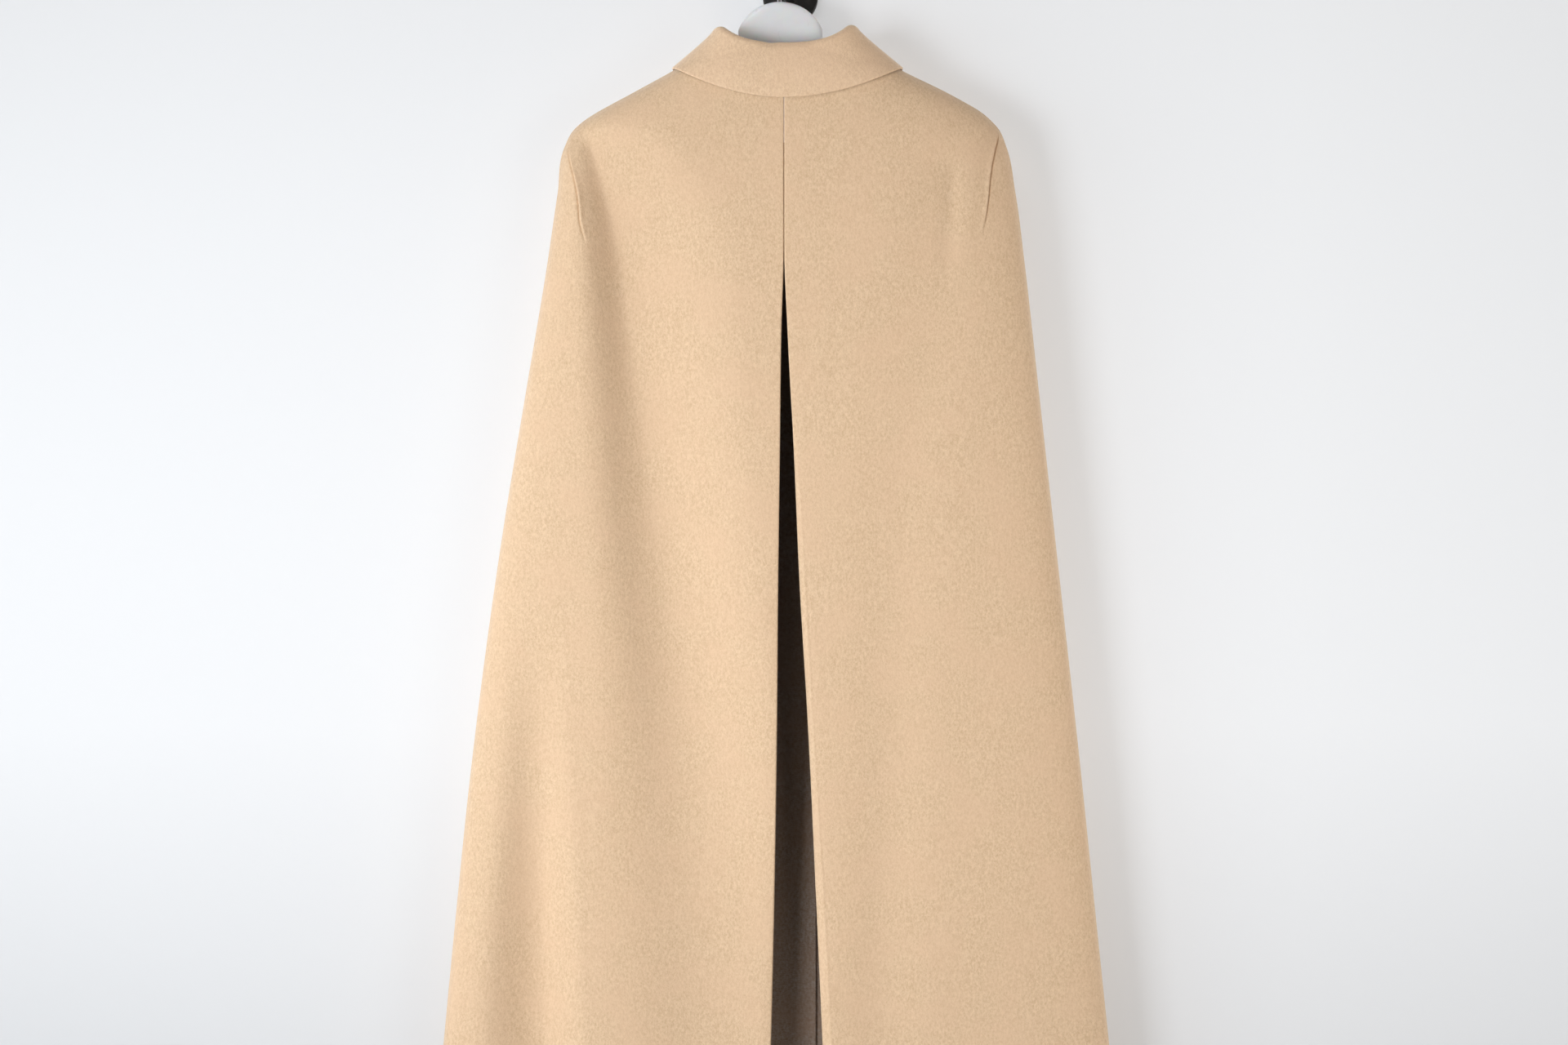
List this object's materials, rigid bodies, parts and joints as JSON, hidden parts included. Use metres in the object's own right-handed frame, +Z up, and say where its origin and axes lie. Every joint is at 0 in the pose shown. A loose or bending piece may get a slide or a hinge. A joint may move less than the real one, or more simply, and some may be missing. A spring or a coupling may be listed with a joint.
{
  "type": "wool cape on a hanger",
  "caption": "Long double-faced wool cape with a turned-down collar and a back vent, hung on a plastic hanger from a wall hook.",
  "frame": {"origin": "centre of the wall hook's flat back, on the wall", "axes": "+X to the right for someone who looks at the wall and the cape's back, +Y into the wall, +Z up"},
  "size_m": [0.671, 0.1065, 1.1924],
  "materials": {
    "camel_wool": "felted double-faced wool, camel outside and charcoal inside",
    "white_plastic": "white moulded plastic",
    "bright_wire": "bright plated wire",
    "black_metal": "satin black",
    "horn": "brown horn-like resin"
  },
  "bodies": {
    "root": {"back_left": "camel_wool", "back_right": "camel_wool", "front_left": "camel_wool", "front_right": "camel_wool", "collar": "camel_wool", "neck_button": "horn", "hanger": "white_plastic", "hanger_hook": "bright_wire", "wall_hook": "black_metal"}
  },
  "joints": []
}
